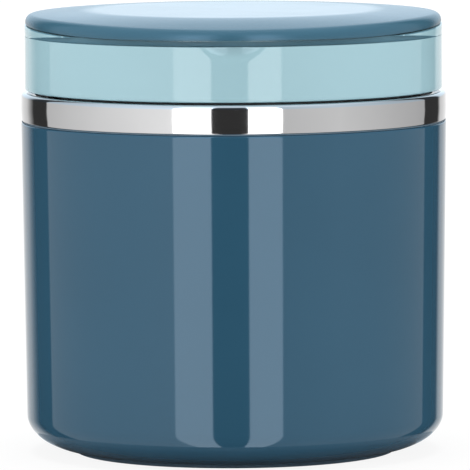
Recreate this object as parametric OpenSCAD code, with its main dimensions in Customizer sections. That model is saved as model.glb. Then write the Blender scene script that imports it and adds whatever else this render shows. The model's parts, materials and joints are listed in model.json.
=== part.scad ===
// Insulated food jar: a steel vacuum flask in a plastic jacket, closed by an insulated screw lid.
// A cover hinged at the back of the lid closes a shallow compartment in the lid's top.
// Millimetres, +Z up. The origin is the centre of the foot, on the table, and the front is at -Y.

/* [Flask] */
// Inside diameter of the food space and of its mouth
mouth_d = 84; // [76:1:96]
// Depth from the rim to the floor of the food space
food_depth = 87.5; // [70:0.5:120]
// Sheet of the liner, which holds the food
liner_wall = 0.8; // [0.6:0.1:1.2]
// Radius between the liner's wall and its floor
liner_corner_r = 10; // [6:1:20]
// Sheet of the flask's outer wall and bottom
flask_wall = 0.8; // [0.6:0.1:1.2]
// Vacuum gap beside and below the liner
vacuum_gap = 6.4; // [5.8:0.1:10]
// Gap between liner and outer wall at the neck
neck_gap = 0.9; // [0.6:0.1:1.4]
// Height of the curved shoulder where the outer wall draws in to the neck
shoulder_h = 6.5; // [5:0.5:9]
// Radius of the outer wall's lower corner
flask_corner_r = 3; // [2:0.5:5]
// How far the outer wall reaches in below that corner, to the bottom's weld
flask_flange = 2; // [1:0.5:4]
// How far the rolled rim reaches beyond the neck's outside
rim_over = 0.7; // [0.4:0.1:1.2]
// Foil wrapped round the liner in the vacuum
foil_t = 0.2; // [0.1:0.05:0.4]
// Diameter of the getter pill
getter_d = 7; // [5:0.5:10]
// Height of the getter pill
getter_h = 1.5; // [1:0.1:2.5]
// Distance of the getter pill from the axis
getter_offset = 24; // [15:1:30]
// Pump-out hole in the flask's bottom
pump_hole_d = 2.4; // [1.5:0.1:4]
// Head of the plug that seals the pump-out hole
plug_head_d = 8; // [6:0.5:12]

/* [Jacket and foot] */
// Air gap between flask and jacket at the top
jacket_gap = 2.6; // [2.2:0.1:4]
// Wall of the jacket
jacket_wall = 2.4; // [1.8:0.1:3]
// How much smaller the jacket's radius is at the bottom than at the top
jacket_taper = 1; // [0:0.1:2]
// Rounding of the jacket's upper edge
jacket_edge_r = 0.6; // [0.2:0.1:1]
// Width of the rounding at the jacket's bottom
base_round_x = 15; // [10:0.5:16]
// Height of the rounding at the jacket's bottom
base_round_z = 9; // [6:0.5:12]
// Diameter of the foot pad
foot_d = 83; // [78:1:86]
// Thickness of the foot pad
foot_h = 1.4; // [1:0.1:2.4]
// How far the foot pad stands proud of the jacket
foot_proud = 0.7; // [0.3:0.1:0.8]
// Opening in the jacket's bottom
base_hole_d = 72; // [60:1:77]
// Thickness of the jacket round that opening
base_rim_h = 1.6; // [1.2:0.1:2.4]
// Thickness of the plate that closes that opening, above the rim
base_plate_h = 1.2; // [0.8:0.1:2]
// How far the plate laps over the rim of that opening
base_plate_lap = 2.5; // [1.5:0.1:4]
// Height of the cushion under the flask
cushion_h = 1.8; // [1.2:0.1:3]
// Inside diameter of that cushion
cushion_in_d = 40; // [20:1:50]
// Outside diameter of that cushion
cushion_out_d = 74; // [60:1:80]

/* [Collar and neck] */
// Height of the polished collar
collar_h = 7.4; // [6:0.1:12]
// Sheet of the collar
collar_wall = 0.8; // [0.5:0.1:1]
// Radius of the collar's shoulder
collar_r = 1.6; // [1:0.1:2]
// Height of the gasket between jacket and collar
gasket_h = 0.3; // [0.3:0.1:1]
// Height of the rim above the collar
neck_h = 8; // [7.6:0.1:12]
// Wall of the plastic ring on the neck
neck_ring_wall = 1.7; // [1.2:0.1:2.2]
// Thickness of the plate that carries the collar
neck_plate_h = 1.8; // [1.2:0.1:2.4]
// Wall of the spigot that centres the jacket
spigot_wall = 1.8; // [1.2:0.1:2.2]
// How deep the spigot reaches into the jacket
spigot_h = 3; // [2:0.5:6]

/* [Thread] */
// Rise of the lid in one turn
lead = 12; // [10:0.5:15]
// Number of thread lugs on each side
lugs = 3; // [2:1:4]
// Angle that each lug spans
lug_angle = 60; // [40:5:70]
// Height of a lug above its wall
thread_h = 1.35; // [1:0.05:1.6]
// Radial gap between a lug's crest and the facing wall
thread_gap = 0.4; // [0.3:0.05:0.6]
// Width of a lug at its foot
lug_foot_w = 1.6; // [1.4:0.1:1.8]
// Width of a lug at its crest
lug_crest_w = 1; // [0.8:0.1:1.2]
// Gap between the flanks of closed lugs
flank_gap = 0.2; // [0.1:0.05:0.4]

/* [Lid] */
// How far the lid's radius stays behind the collar's
lid_setback = 1; // [0.5:0.1:2]
// Gap between collar and closed lid
lid_gap = 0.5; // [0.5:0.1:1.5]
// Height of the aqua band, up to the finger groove
band_h = 14; // [13:0.1:20]
// Wall of the lid's outer shell
lid_wall = 2.6; // [2:0.1:2.8]
// Rounding of the shell's lower edge
lid_edge_r = 0.6; // [0.3:0.1:1]
// How far the side walls rise above the band, to just under the cover
side_rise = 3; // [2.2:0.01:3.5]
// How far the ledge under the cover lies below the side walls' top
ledge_drop = 0.67; // [0.5:0.01:1]
// Thickness of that ledge
ledge_t = 1.8; // [1.4:0.1:2.4]
// Depth of the compartment below the ledge
compartment_depth = 9.5; // [6:0.1:10.5]
// Wall and floor of the compartment
compartment_wall = 1.8; // [1.4:0.1:2.2]
// Wall of the threaded skirt
skirt_wall = 2; // [1.6:0.1:2.2]
// How far the skirt stays above the shell's lower edge
skirt_up = 0.8; // [0.3:0.1:1.5]
// Thickness of the core above the rim
core_wall = 1.6; // [1.2:0.1:2]
// Wall and floor of the stopper
stopper_wall = 1.4; // [1:0.1:2]
// Depth of the stopper below the rim
stopper_depth = 11.5; // [10.5:0.1:14]
// Air gap between the stopper's wall and the compartment's wall
stopper_air = 1.2; // [0.8:0.1:3]
// Height of the main seal above the rim
seal_h = 2; // [1.5:0.1:3]
// Thickness of the seal's lip inside the mouth
lip_t = 0.5; // [0.4:0.05:0.8]
// Radial gap on both sides of that lip
lip_gap = 0.3; // [0.2:0.05:0.5]
// How deep that lip hangs below the rim
lip_depth = 2; // [1:0.1:4]

/* [Finger groove] */
// Height of the crescent groove in front
groove_h = 1.96; // [1:0.01:2.4]
// Depth of the groove in front
groove_depth = 3.4; // [3:0.1:3.4]
// Angle from the front up to which the groove has its full height
groove_full_angle = 40; // [25:1:50]
// Angle from the front at which the groove runs out
groove_angle = 75; // [60:1:85]
// Width of the thumb scoop at the band's upper edge
scoop_w = 14.6; // [10:0.1:20]
// Height of the scoop below that edge on the band's face
scoop_h = 3; // [2:0.1:4]
// How deep the scoop dishes that edge in the middle
scoop_depth = 1.6; // [1:0.1:3]

/* [Cover] */
// Gap between the side walls and the cover's edge
cover_gap = 0.3; // [0.2:0.05:0.5]
// How far the cover's radius stays behind the lid's
cover_setback = 0.2; // [0.2:0.1:1]
// Height of the cover at the sides
cover_h = 3.25; // [3:0.01:5]
// Radius of the cover's flat top
cover_flat_r = 38; // [30:1:42]
// Fall of the cover's top from the flat to the edge
cover_fall = 0.8; // [0.6:0.1:1.5]
// Further fall of that edge in front
cover_fall_front = 1.4; // [0.8:0.1:1.6]
// Width of the cover's rounded edge
cover_edge_x = 2; // [1.5:0.1:3]
// How much lower the cover's edge is in front than at the sides
arch_drop = 1.77; // [1.4:0.01:2]
// Skin of the cover
cover_skin = 1.6; // [1.2:0.1:1.8]
// Width of the cover's rim
cover_rim = 2.4; // [2:0.1:2.6]
// Thickness of the cover's inner plate
inner_plate_h = 1.2; // [1:0.1:1.6]
// Depth of the inner plate's spigot in the compartment
inner_spigot_h = 3.2; // [2:0.1:5]
// Wall of that spigot
inner_spigot_wall = 2.1; // [1.6:0.1:3]
// Gap between that spigot and the compartment's wall
inner_spigot_gap = 0.4; // [0.3:0.05:0.8]
// Height of the cover's seal
cover_seal_h = 1.4; // [1:0.1:2]
// Depth of the seal's seat in the spigot
cover_seal_seat = 0.8; // [0.5:0.1:1.2]

/* [Hinge] */
// Distance of the hinge axis from the lid's outer face
hinge_in = 2.5; // [2.3:0.1:3]
// Radius of the knuckles
knuckle_r = 2.2; // [2:0.1:2.4]
// Diameter of the pin
pin_d = 1.8; // [1.5:0.1:2.2]
// Radial clearance of the pin in the cover's knuckle
pin_clear = 0.05; // [0.02:0.01:0.1]
// Length of the cover's knuckle
knuckle_w = 17.8; // [12:0.1:20]
// Length of each ear on the lid
ear_w = 6.2; // [4:0.1:7]
// Gap between ears, knuckle and cover
hinge_gap = 0.3; // [0.2:0.05:0.5]

/* [Hidden] */

$fn = 96;
arc_steps = 8;        // straight steps in a rounded outline
cover_sides = 60;     // sides of the cover's skin
lug_steps = 12;       // straight steps in a thread lug
fit = 0.05;           // gap between parts that are pushed or welded together
far = 200;            // reach of a cutter that runs out past the part
bite = 0.3;           // how deep a thread lug is rooted in its wall
seat = 0.2;           // gap round the foot pad
arch_run = 1.25;      // the arch levels out at the cover's radius divided by this
top_power = 1.5;      // how the cover's top curves down from its flat to its edge
top_steps = [0, 0.4, 0.7, 0.9];     // shares of that way at which the curve has its points
edge_step = 18;       // degrees between the points of the cover's rounded edge
lug_end = 0.2;        // share of its height that a lug has at its ends
lug_ramp = 6;         // shares of its height that a lug gains over its length

// Radii, from the mouth outwards
mouth_r = mouth_d / 2;
liner_r = mouth_r + liner_wall;
neck_in_r = liner_r + neck_gap;
neck_r = neck_in_r + flask_wall;
rim_r = neck_r + rim_over;
flask_in_r = liner_r + vacuum_gap;
flask_r = flask_in_r + flask_wall;
weld_r = flask_r - flask_corner_r - flask_flange;
jacket_in_r = flask_r + jacket_gap;
body_r = jacket_in_r + jacket_wall;
jacket_low_r = body_r - jacket_taper;
collar_in_r = body_r - collar_wall;
neck_ring_in_r = neck_r + fit;
neck_ring_r = neck_ring_in_r + neck_ring_wall;
crest_r = neck_ring_r + thread_h;
skirt_in_r = crest_r + thread_gap;
skirt_r = skirt_in_r + skirt_wall;
lid_r = body_r - lid_setback;
shell_in_r = lid_r - lid_wall;
groove_r = lid_r - groove_depth;
cover_r = lid_r - cover_setback;
cover_in_r = cover_r - cover_rim;
cover_edge_r = cover_r - cover_edge_x;

// Radii, from the mouth inwards
lip_r = mouth_r - lip_gap;
lip_in_r = lip_r - lip_t;
stopper_r = lip_in_r - lip_gap;
stopper_in_r = stopper_r - stopper_wall;
compartment_out_r = stopper_in_r - stopper_air;
compartment_r = compartment_out_r - compartment_wall;
inner_spigot_r = compartment_r - inner_spigot_gap;
inner_spigot_in_r = inner_spigot_r - inner_spigot_wall;

// Heights, from the table upwards
base_rim_z = foot_h + base_rim_h;
plate_top = base_rim_z + base_plate_h;
flask_z = plate_top + cushion_h;
liner_z = flask_z + flask_wall + vacuum_gap;
floor_z = liner_z + liner_wall;
rim_z = floor_z + food_depth;
rim_under = rim_z - liner_wall;
collar_top = rim_z - neck_h;
collar_z = collar_top - collar_h;
jacket_top = collar_z - gasket_h;
shoulder_z = collar_z - shoulder_h;
neck_plate_z = collar_top - collar_wall - fit - neck_plate_h;
lid_z = collar_top + lid_gap;
skirt_z = lid_z + skirt_up;
seal_top = rim_z + seal_h;
ceiling_z = seal_top + 2 * fit;
core_top = ceiling_z + core_wall;
stopper_z = rim_z - stopper_depth;
band_top = lid_z + band_h;
lid_top = band_top + side_rise;
ledge_z = lid_top - ledge_drop;
compartment_z = ledge_z - compartment_depth;
cover_z = lid_top + cover_gap;
cover_top = cover_z + cover_h;
seal_seat_z = ledge_z - (inner_spigot_h + cover_seal_h) / 2;

// The ledge ends inside the groove's wall, and inside where the cover comes down to it in front
facet_in = cos(180 / cover_sides);
cover_low_r = lookup(ledge_z + 2 * fit, [for (p = cover_under(0)) [p[1], p[0]]]) * facet_in;
ledge_r = min(groove_r - fit, cover_low_r - cover_gap);

// Middle of the lid's lugs where they start, and of the neck's lugs above them
lid_lug_z = skirt_z + fit + lug_foot_w / 2;
neck_lug_z = lid_lug_z + (lug_foot_w + lug_crest_w) / 2 + flank_gap;

// Hinge
hinge_y = lid_r - hinge_in;
hinge_z = lid_top;
ear_x = knuckle_w / 2 + hinge_gap;
ear_end = ear_x + ear_w;
notch_x = ear_end + hinge_gap;
notch_y = hinge_y - knuckle_r - 2 * hinge_gap;
web_y = notch_y - cover_skin - 3 * hinge_gap;
inner_plate_r = web_y - hinge_gap;
pin_r = pin_d / 2;

// Points [r, z] on an elliptical arc about centre c, from angle a to angle b
function arc(c, rx, rz, a, b) =
    [for (i = [0:arc_steps]) let (t = a + (b - a) * i / arc_steps) c + [rx * cos(t), rz * sin(t)]];

// A ring between two radii and two heights
module ring(r0, r1, z0, z1) {
    rotate_extrude() translate([r0, z0]) square([r1 - r0, z1 - z0]);
}

// ---- Flask

module flask_liner() {
    corner = [mouth_r - liner_corner_r, floor_z + liner_corner_r];
    out_r = liner_corner_r + liner_wall;
    color("silver") rotate_extrude() polygon(concat(
        [[0, floor_z]],
        arc(corner, liner_corner_r, liner_corner_r, -90, 0),
        [[mouth_r, rim_z], [rim_r, rim_z], [rim_r, rim_under], [liner_r, rim_under]],
        arc(corner, out_r, out_r, 0, -90),
        [[0, liner_z]]));
}

module flask_outer_wall() {
    corner = [flask_r - flask_corner_r, flask_z + flask_corner_r];
    in_r = flask_corner_r - flask_wall;
    color("lightgray") rotate_extrude() polygon(concat(
        [[weld_r, flask_z]],
        arc(corner, flask_corner_r, flask_corner_r, -90, 0),
        arc([neck_r, shoulder_z], flask_r - neck_r, shoulder_h, 0, 90),
        [[neck_r, rim_under], [neck_in_r, rim_under]],
        arc([neck_in_r, shoulder_z], flask_in_r - neck_in_r, shoulder_h - flask_wall, 90, 0),
        arc(corner, in_r, in_r, 0, -90),
        [[weld_r, flask_z + flask_wall]]));
}

module flask_bottom() {
    color("lightgray") difference() {
        translate([0, 0, flask_z]) cylinder(r = weld_r - fit, h = flask_wall);
        translate([0, 0, flask_z - flask_wall]) cylinder(d = pump_hole_d, h = 3 * flask_wall);
    }
}

module vacuum_plug() {
    color("gray") union() {
        translate([0, 0, flask_z - flask_wall]) cylinder(d = plug_head_d, h = flask_wall);
        translate([0, 0, flask_z - flask_wall / 2])
            cylinder(d = pump_hole_d - fit, h = 1.5 * flask_wall);
    }
}

module getter() {
    color("dimgray") translate([getter_offset, 0, flask_z + flask_wall])
        cylinder(d = getter_d, h = getter_h);
}

module radiation_foil() {
    color("darkgoldenrod")
        ring(liner_r + fit, liner_r + fit + foil_t, floor_z + liner_corner_r, shoulder_z);
}

// ---- Jacket and foot

// Middle of the rounding at the jacket's bottom, and points [r, z] on its inside, from the wall down
function round_middle() = [jacket_low_r - base_round_x, foot_proud + base_round_z];
function jacket_inside() = let (low = round_middle())
    arc(low, base_round_x - jacket_wall, low[1] - base_rim_z, 0, -90);

module outer_jacket() {
    edge = [body_r - jacket_edge_r, jacket_top - jacket_edge_r];
    color("steelblue") difference() {
        rotate_extrude() polygon(concat(
            [[0, foot_proud]],
            arc(round_middle(), base_round_x, base_round_z, -90, 0),
            arc(edge, jacket_edge_r, jacket_edge_r, 0, 90),
            [[jacket_in_r, jacket_top]],
            jacket_inside(),
            [[0, base_rim_z]]));
        translate([0, 0, foot_h - far]) cylinder(d = foot_d + 2 * seat, h = far);
        translate([0, 0, -far]) cylinder(d = base_hole_d, h = 2 * far);
    }
}

module foot_pad() {
    color("dimgray") cylinder(d = foot_d, h = foot_h);
}

// Plate whose underside lies on the jacket's inside, also where that begins to curve up
module base_plate() {
    inside = jacket_inside();
    hole_r = base_hole_d / 2;
    plate_r = hole_r + base_plate_lap;
    color("darkslategray") rotate_extrude() polygon(concat(
        [[0, foot_h], [hole_r - 2 * fit, foot_h], [hole_r - 2 * fit, lookup(hole_r, inside)]],
        [for (i = [arc_steps:-1:0]) if (inside[i][0] > hole_r && inside[i][0] < plate_r) inside[i]],
        [[plate_r, lookup(plate_r, inside)], [plate_r, plate_top], [0, plate_top]]));
}

module flask_cushion() {
    color("gray") ring(cushion_in_d / 2, cushion_out_d / 2, plate_top, flask_z);
}

// ---- Collar and neck

module jacket_gasket() {
    color("darkslategray") ring(jacket_in_r, body_r - gasket_h / 2, jacket_top, collar_z);
}

module steel_collar() {
    edge = [body_r - collar_r, collar_top - collar_r];
    in_r = collar_r - collar_wall;
    color("gainsboro") rotate_extrude() polygon(concat(
        [[body_r, collar_z]],
        arc(edge, collar_r, collar_r, 0, 90),
        [[skirt_in_r + collar_wall, collar_top], [skirt_in_r + collar_wall, collar_top - collar_wall]],
        arc(edge, in_r, in_r, 90, 0),
        [[collar_in_r, collar_z]]));
}

// One thread lug from radius r0 to radius r1, its middle at height z0 where it starts
module lug(r0, r1, z0) {
    function reach(t) = r0 + (r1 - r0) * min(1, lug_end + lug_ramp * min(t, 1 - t));
    points = [for (i = [0:lug_steps])
        let (t = i / lug_steps, a = t * lug_angle, z = z0 + lead * a / 360, r = reach(t))
        each [for (p = [[r0, -lug_foot_w], [r, -lug_crest_w], [r, lug_crest_w], [r0, lug_foot_w]])
            [p[0] * cos(a), p[0] * sin(a), z + p[1] / 2]]];
    sides = [for (i = [0:lug_steps - 1], k = [0:3])
        let (a = 4 * i + k, b = 4 * i + (k + 1) % 4)
        each [[a, b, b + 4], [a, b + 4, a + 4]]];
    last = 4 * lug_steps;
    faces = concat([[3, 2, 1, 0], [last, last + 1, last + 2, last + 3]], sides);
    polyhedron(points, r1 > r0 ? faces : [for (f = faces) [for (k = [len(f) - 1:-1:0]) f[k]]]);
}

module lugs(r0, r1, z0) {
    for (i = [0:lugs - 1]) rotate(i * 360 / lugs) lug(r0, r1, z0);
}

module neck_ring() {
    spigot_r = jacket_in_r - 2 * fit;
    color("slategray") union() {
        ring(neck_ring_in_r, neck_ring_r, collar_z + gasket_h, rim_under - fit);
        ring(neck_ring_in_r, body_r - collar_r, neck_plate_z, neck_plate_z + neck_plate_h);
        ring(spigot_r - spigot_wall, spigot_r, jacket_top - spigot_h, neck_plate_z + neck_plate_h);
        ring(spigot_r - spigot_wall, collar_in_r - fit, collar_z, collar_z + neck_plate_h);
        lugs(neck_ring_r - bite, crest_r, neck_lug_z);
    }
}

// ---- Lid

module main_seal() {
    color("whitesmoke") union() {
        ring(liner_r - fit, rim_r, rim_z, seal_top);
        ring(lip_in_r, lip_r, rim_z - lip_depth, seal_top);
        ring(lip_in_r, liner_r, rim_z + seal_h / 2, seal_top);
    }
}

module lid_core() {
    color("gainsboro") union() {
        ring(skirt_in_r, skirt_r, skirt_z, core_top);
        ring(skirt_in_r, shell_in_r - fit, skirt_z, skirt_z + stopper_wall);
        ring(stopper_in_r, skirt_r, ceiling_z, core_top);
        ring(stopper_in_r, stopper_r, stopper_z, core_top);
        translate([0, 0, stopper_z]) cylinder(r = stopper_r, h = stopper_wall);
        lugs(skirt_in_r + bite, skirt_in_r - thread_h, lid_lug_z);
    }
}

module lid_insulation() {
    low = stopper_z + stopper_wall;
    color("cornsilk") translate([0, 0, low])
        cylinder(r = stopper_in_r - 2 * fit, h = compartment_z - compartment_wall - fit - low);
}

// Region above the cover's arched lower edge, seen from the side and moved down by gap
module above_arch(gap) {
    z0 = cover_z - gap;
    z1 = z0 - arch_drop;
    rotate([90, 0, 90]) linear_extrude(far, center = true)
        polygon([[0, z0], [0, z0 + far], [-far, z0 + far], [-far, z1], [-lid_r / arch_run, z1]]);
}

// Crescent groove: what lies outside a round wall set back from the lid's face, under a roof
// that comes down to the band towards both ends
module finger_groove() {
    end_y = lid_r * cos(groove_angle);
    full_y = lid_r * cos(groove_full_angle);
    shift = (pow(lid_r, 2) - pow(groove_r, 2)) / (2 * (groove_r - end_y));
    translate([0, 0, band_top]) intersection() {
        rotate([90, 0, 90]) linear_extrude(far, center = true)
            polygon([[-end_y, 0], [-full_y, groove_h], [-far, groove_h], [-far, 0]]);
        difference() {
            cylinder(r = far, h = groove_h);
            translate([0, shift, -groove_h]) cylinder(r = groove_r + shift, h = 3 * groove_h);
        }
    }
}

// Sphere that dishes the band under the middle of the groove, as far in as the ledge. It meets
// the band's upper edge at the scoop's width, and has its depth in the middle of that edge.
module thumb_scoop() {
    half = scoop_w / 2;
    dish = scoop_depth - lid_r + sqrt(pow(lid_r, 2) - pow(half, 2));
    edge_r = (pow(half, 2) + pow(dish, 2)) / (2 * dish);
    out = edge_r - scoop_depth;
    up = (pow(edge_r, 2) - pow(out, 2) - pow(scoop_h, 2)) / (2 * scoop_h);
    difference() {
        translate([0, -lid_r - out, band_top + up]) sphere(r = norm([edge_r, up]));
        cylinder(r = ledge_r, h = far);
    }
}

module lid_shell() {
    color("powderblue") union() {
        difference() {
            rotate_extrude() polygon(concat(
                [[shell_in_r, lid_z]],
                arc([lid_r - lid_edge_r, lid_z + lid_edge_r], lid_edge_r, lid_edge_r, -90, 0),
                [[lid_r, lid_top], [groove_r, lid_top], [groove_r, ledge_z],
                [compartment_r, ledge_z], [compartment_r, compartment_z], [0, compartment_z],
                [0, compartment_z - compartment_wall],
                [compartment_out_r, compartment_z - compartment_wall],
                [compartment_out_r, ledge_z - ledge_t], [skirt_in_r, ledge_z - ledge_t],
                [skirt_in_r, core_top], [shell_in_r, core_top]]));
            finger_groove();
            thumb_scoop();
            difference() {
                above_arch(cover_gap);
                translate([0, 0, -far]) cylinder(r = ledge_r, h = 3 * far);
            }
            // Pocket that the hinge turns in
            translate([-notch_x, notch_y, hinge_z - knuckle_r - hinge_gap])
                cube([2 * notch_x, far, far]);
        }
        ears();
    }
}

// The two ears that hold the pin, sunk into the roof under the pocket
module ears() {
    base_z = core_top + lid_wall / 2;
    difference() {
        for (side = [-1, 1]) translate([side * (ear_x + ear_w / 2), 0, 0]) {
            translate([0, hinge_y, hinge_z]) rotate([0, 90, 0])
                cylinder(r = knuckle_r, h = ear_w, center = true);
            translate([-ear_w / 2, hinge_y - knuckle_r, base_z])
                cube([ear_w, knuckle_r, hinge_z - base_z]);
        }
        translate([0, hinge_y, hinge_z]) rotate([0, 90, 0]) cylinder(r = pin_r, h = far, center = true);
    }
}

module hinge_pin() {
    color("silver") translate([0, hinge_y, hinge_z]) rotate([0, 90, 0])
        cylinder(r = pin_r, h = 2 * (ear_end - hinge_gap), center = true);
}

// ---- Cover

// Height of the cover's edge, at angle a from the front: where the top ends, and at the bottom
function front(a) = max(0, cos(a));
function edge_high(a) = cover_top - cover_fall - cover_fall_front * pow(front(a), 2);
function edge_low(a) = cover_z - arch_drop * min(1, arch_run * front(a));

// Height of the cover's top at a share u of the way from its flat to its edge
function top_at(a, u) = cover_top - (cover_top - edge_high(a)) * pow(u, top_power);
function top_r(u) = cover_flat_r + (cover_edge_r - cover_flat_r) * u;

// Points [r, z] underneath the cover's skin at angle a, from its middle out to its rim
function cover_under(a) = concat(
    [for (u = top_steps) [top_r(u) - cover_skin / 4, top_at(a, u) - cover_skin]],
    [[cover_in_r, (edge_low(a) + edge_high(a) - cover_skin) / 2]]);

// Section [r, z] of the cover's skin at angle a: out along the top, round the edge, back underneath
function cover_section(a) =
    let (high = edge_high(a), low = edge_low(a), under = cover_under(a))
    concat(
        [for (u = top_steps) [top_r(u), top_at(a, u)]],
        [for (t = [0:edge_step:90]) [cover_edge_r + cover_edge_x * sin(t), low + (high - low) * cos(t)]],
        [[cover_in_r, low]],
        [for (k = [len(under) - 1:-1:0]) under[k]]);

module cover_skin_body() {
    m = len(cover_section(0));
    rings = [for (i = [0:cover_sides - 1])
        let (a = i * 360 / cover_sides)
        each [for (p = cover_section(a)) [p[0] * sin(a), -p[0] * cos(a), p[1]]]];
    top = len(rings);
    points = concat(rings, [[0, 0, cover_top], [0, 0, cover_top - cover_skin]]);
    faces = [for (i = [0:cover_sides - 1])
        let (a = i * m, b = ((i + 1) % cover_sides) * m)
        each concat(
            [[top, b, a], [top + 1, a + m - 1, b + m - 1]],
            [for (k = [0:m - 2]) each [[a + k, b + k, b + k + 1], [a + k, b + k + 1, a + k + 1]]])];
    polyhedron(points, faces);
}

module flip_cover() {
    web_z = cover_z + fit;
    color("steelblue") difference() {
        union() {
            difference() {
                cover_skin_body();
                translate([-notch_x, notch_y, hinge_z - far / 2]) cube([2 * notch_x, far, far]);
            }
            rotate([90, 0, 90]) linear_extrude(knuckle_w, center = true) polygon([
                [web_y, web_z], [hinge_y, web_z], [hinge_y, hinge_z + knuckle_r],
                [notch_y, cover_top - cover_skin / 2], [web_y, cover_top - cover_skin / 2]]);
            translate([0, hinge_y, hinge_z]) rotate([0, 90, 0])
                cylinder(r = knuckle_r, h = knuckle_w, center = true);
        }
        translate([0, hinge_y, hinge_z]) rotate([0, 90, 0])
            cylinder(r = pin_r + pin_clear, h = far, center = true);
    }
}

module cover_inner() {
    plate_z = ledge_z + 2 * fit;
    seat_r = inner_spigot_r - cover_seal_seat;
    under = cover_under(0);
    color("gainsboro") union() {
        intersection() {
            translate([0, 0, plate_z]) cylinder(r = inner_plate_r, h = inner_plate_h);
            rotate_extrude() polygon(concat([[0, 0], [0, under[0][1]]],
                [for (p = under) [p[0] * facet_in, p[1] - 2 * fit]], [[cover_in_r * facet_in, 0]]));
        }
        ring(inner_spigot_in_r - inner_spigot_wall, inner_spigot_in_r, plate_z,
            lookup(inner_spigot_in_r / facet_in, under));
        difference() {
            ring(inner_spigot_in_r, inner_spigot_r, ledge_z - inner_spigot_h, plate_z + fit);
            ring(seat_r, inner_spigot_r + far, seal_seat_z, seal_seat_z + cover_seal_h);
        }
    }
}

module cover_seal() {
    color("whitesmoke") ring(inner_spigot_r - cover_seal_seat, compartment_r - inner_spigot_gap / 2,
        seal_seat_z, seal_seat_z + cover_seal_h);
}

outer_jacket();
foot_pad();
base_plate();
flask_cushion();
flask_outer_wall();
flask_liner();
flask_bottom();
vacuum_plug();
getter();
radiation_foil();
jacket_gasket();
steel_collar();
neck_ring();
main_seal();
lid_shell();
lid_core();
lid_insulation();
hinge_pin();
flip_cover();
cover_inner();
cover_seal();
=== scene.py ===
"""Insulated food jar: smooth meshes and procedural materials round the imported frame, in a studio.

The jar's axis is Z. The front with the finger groove is -Y; the cover's hinge is at the back, +Y.
Lengths in the shape functions are millimetres; meshes are made in metres.
"""

import json
import math

import bmesh
import bpy
from mathutils import Matrix, Vector


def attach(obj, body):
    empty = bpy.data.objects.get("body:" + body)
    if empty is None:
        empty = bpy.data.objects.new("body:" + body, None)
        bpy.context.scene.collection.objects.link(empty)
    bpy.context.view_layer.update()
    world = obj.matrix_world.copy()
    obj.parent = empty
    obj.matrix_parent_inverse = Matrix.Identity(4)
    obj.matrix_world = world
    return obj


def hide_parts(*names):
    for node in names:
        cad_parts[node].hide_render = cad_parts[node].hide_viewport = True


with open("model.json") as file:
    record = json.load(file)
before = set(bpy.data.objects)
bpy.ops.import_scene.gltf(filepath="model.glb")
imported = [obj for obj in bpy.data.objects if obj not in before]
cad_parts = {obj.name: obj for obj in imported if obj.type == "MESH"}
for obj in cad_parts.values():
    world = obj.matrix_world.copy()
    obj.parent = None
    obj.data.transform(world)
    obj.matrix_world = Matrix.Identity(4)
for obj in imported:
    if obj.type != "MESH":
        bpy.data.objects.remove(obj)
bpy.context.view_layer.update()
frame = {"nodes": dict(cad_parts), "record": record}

MM = 0.001
SIDES = 288                 # facets round a turned piece
FINE_SIDES = 360            # the same for a piece whose outline or reflections show most
GUARD = 0.12                # how far beyond a rounding a loop keeps its shading off the flat
SHARP = math.radians(34)    # an edge that bends further than this is shaded sharp

# ---- Sizes in millimetres, as in the solids

# Jacket and foot
BODY_R, BODY_LOW_R, JACKET_IN_R, JACKET_WALL = 55.0, 54.0, 52.6, 2.4
JACKET_TOP, JACKET_FLOOR, FOOT_PROUD = 85.8, 3.0, 0.7
ROUND_X, ROUND_Z, HOLE_R = 15.0, 9.0, 36.0
FOOT_R, FOOT_H, FOOT_GAP = 41.5, 1.4, 0.2
# Collar and flask
COLLAR_Z, COLLAR_TOP, COLLAR_ROUND, GASKET_R = 86.1, 93.5, 1.6, 54.85
RIM_Z, RIM_UNDER, RIM_R, MOUTH_R = 101.5, 100.7, 45.2, 42.0
# Thread: rise in one turn, the angle that a lug spans, and where the lugs start
LEAD, LUG_ANGLE, LUG_STARTS = 12, 60, (0, 120, 240)
# Lid
LID_R, SHELL_IN_R, GROOVE_R, SKIRT_IN_R = 54.0, 51.4, 50.6, 48.0
LID_Z, BAND_TOP, LEDGE_Z, LEDGE_T, CORE_TOP = 94.0, 108.0, 110.33, 1.8, 105.2
COMPARTMENT_R, COMPARTMENT_Z, COMPARTMENT_WALL = 36.5, 100.83, 1.8
GROOVE_ANGLE, GROOVE_FULL, GROOVE_H = 75, 40, 1.96
SCOOP_Y, SCOOP_Z, SCOOP_R = 77.08, BAND_TOP + 11.23, 27.11
# Cover
COVER_R, COVER_IN_R, COVER_EDGE_R, FLAT_R = 53.8, 51.4, 51.8, 38.0
COVER_Z, COVER_TOP, COVER_SKIN, COVER_GAP = 111.3, 114.55, 1.6, 0.3
COVER_FALL, COVER_FALL_FRONT, TOP_POWER = 0.8, 1.4, 1.5
ARCH_DROP, ARCH_RUN = 1.77, 1.25
# Hinge
HINGE_Y, HINGE_Z, HINGE_GAP, KNUCKLE_R = 51.5, 111.0, 0.3, 2.2
PIN_R, PIN_CLEAR, PIN_HALF = 0.9, 0.05, 15.1
NOTCH_X, NOTCH_Y, WEB_Y, KNUCKLE_HALF = 15.7, 48.7, 46.2, 8.9
EAR_X, EAR_W = 9.2, 6.2
BEYOND_Y, BEYOND_Z = 60, 130    # where a cutter is clear of the part


# ---- Mesh helpers

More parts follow.
